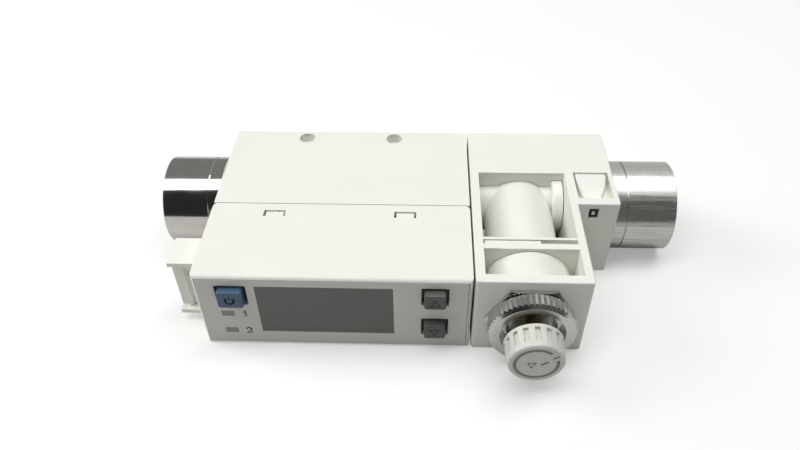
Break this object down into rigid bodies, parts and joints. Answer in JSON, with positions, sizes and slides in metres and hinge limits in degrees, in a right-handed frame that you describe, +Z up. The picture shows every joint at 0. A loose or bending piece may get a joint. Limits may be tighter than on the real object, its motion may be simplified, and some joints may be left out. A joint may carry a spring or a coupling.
{
  "type": "digital flow switch",
  "caption": "Compact in-line digital flow switch: display and keys on the sensor module, a flow-adjusting valve module beside it, and round threaded metal ports at both ends.",
  "frame": {"origin": "on the flow axis at the gauge plane of the inlet port, the inner end of its mouth chamfer", "axes": "+X runs with the flow from the inlet port to the outlet port, +Y from the display face to the back, +Z up through the thickness, as the unit lies on its side in the picture"},
  "size_m": [0.1134, 0.0597, 0.02],
  "materials": {
    "white_case": "fine-textured moulding",
    "white_satin": "satin moulding",
    "panel_grey": "matt moulding",
    "window_dark": "smoked, polished",
    "key_blue": "satin",
    "key_grey": "satin",
    "lens_grey": "translucent moulding",
    "bright_nickel": "polished nickel plate",
    "satin_nickel": "turned nickel plate",
    "steel": "pressed sheet",
    "brass": "tinned pins and turned stem",
    "seal_rubber": "smooth",
    "board_green": "solder mask",
    "black_plastic": "moulded"
  },
  "bodies": {
    "housing": {"board_link": "board_green", "connector_pins": "brass", "connector_socket": "white_case", "display_board": "board_green", "display_module": "black_plastic", "display_panel": "panel_grey", "display_window": "window_dark", "down_switch": "black_plastic", "flow_body": "white_case", "flow_screens": "steel", "front_case": "white_case", "indicator_lens_1": "lens_grey", "indicator_lens_2": "lens_grey", "inlet_clip": "steel", "inlet_fitting": "bright_nickel", "inlet_o_ring": "seal_rubber", "joint_clip": "steel", "joint_o_rings": "seal_rubber", "joint_tube": "black_plastic", "main_board": "board_green", "outlet_fitting": "satin_nickel", "outlet_key": "white_satin", "outlet_o_ring": "seal_rubber", "outlet_sleeve": "white_satin", "panel_nut": "satin_nickel", "screen_spacer": "steel", "sensor_board": "board_green", "sensor_chip": "black_plastic", "sensor_cover": "black_plastic", "sensor_gasket": "seal_rubber", "sensor_screws": "steel", "set_switch": "black_plastic", "up_switch": "black_plastic", "valve_body": "white_satin", "valve_clip": "white_satin", "valve_guide": "satin_nickel", "valve_housing": "white_case"},
    "set_button": {"set_button": "key_blue"},
    "up_button": {"up_button": "key_grey"},
    "down_button": {"down_button": "key_grey"},
    "lock_ring": {"lock_ring": "satin_nickel"},
    "needle": {"needle": "brass", "needle_o_ring": "seal_rubber"},
    "knob": {"knob": "white_satin"}
  },
  "joints": [
    {"name": "set_press", "type": "slide", "parent": "housing", "child": "set_button", "axis": [0, 1, 0], "range_m": [0, 0.0004], "stiffness_N_per_m": 200},
    {"name": "up_press", "type": "slide", "parent": "housing", "child": "up_button", "axis": [0, 1, 0], "range_m": [0, 0.0004], "stiffness_N_per_m": 200},
    {"name": "down_press", "type": "slide", "parent": "housing", "child": "down_button", "axis": [0, 1, 0], "range_m": [0, 0.0004], "stiffness_N_per_m": 200},
    {"name": "lock_ring_turn", "type": "hinge", "parent": "housing", "child": "lock_ring", "pos_m": [0.07885, -0.0373, 0], "axis": [0, -1, 0], "continuous": true},
    {"name": "needle_slide", "type": "slide", "parent": "housing", "child": "needle", "axis": [0, -1, 0], "range_m": [-0.0025, 0.0015]},
    {"name": "knob_turn", "type": "hinge", "parent": "needle", "child": "knob", "pos_m": [0.07885, -0.0432, 0], "axis": [0, -1, 0], "range_deg": [-1205, 725]}
  ],
  "couplings": [
    {"joint": "knob_turn", "follows": "needle_slide", "rad_per_m": 8377.6}
  ]
}
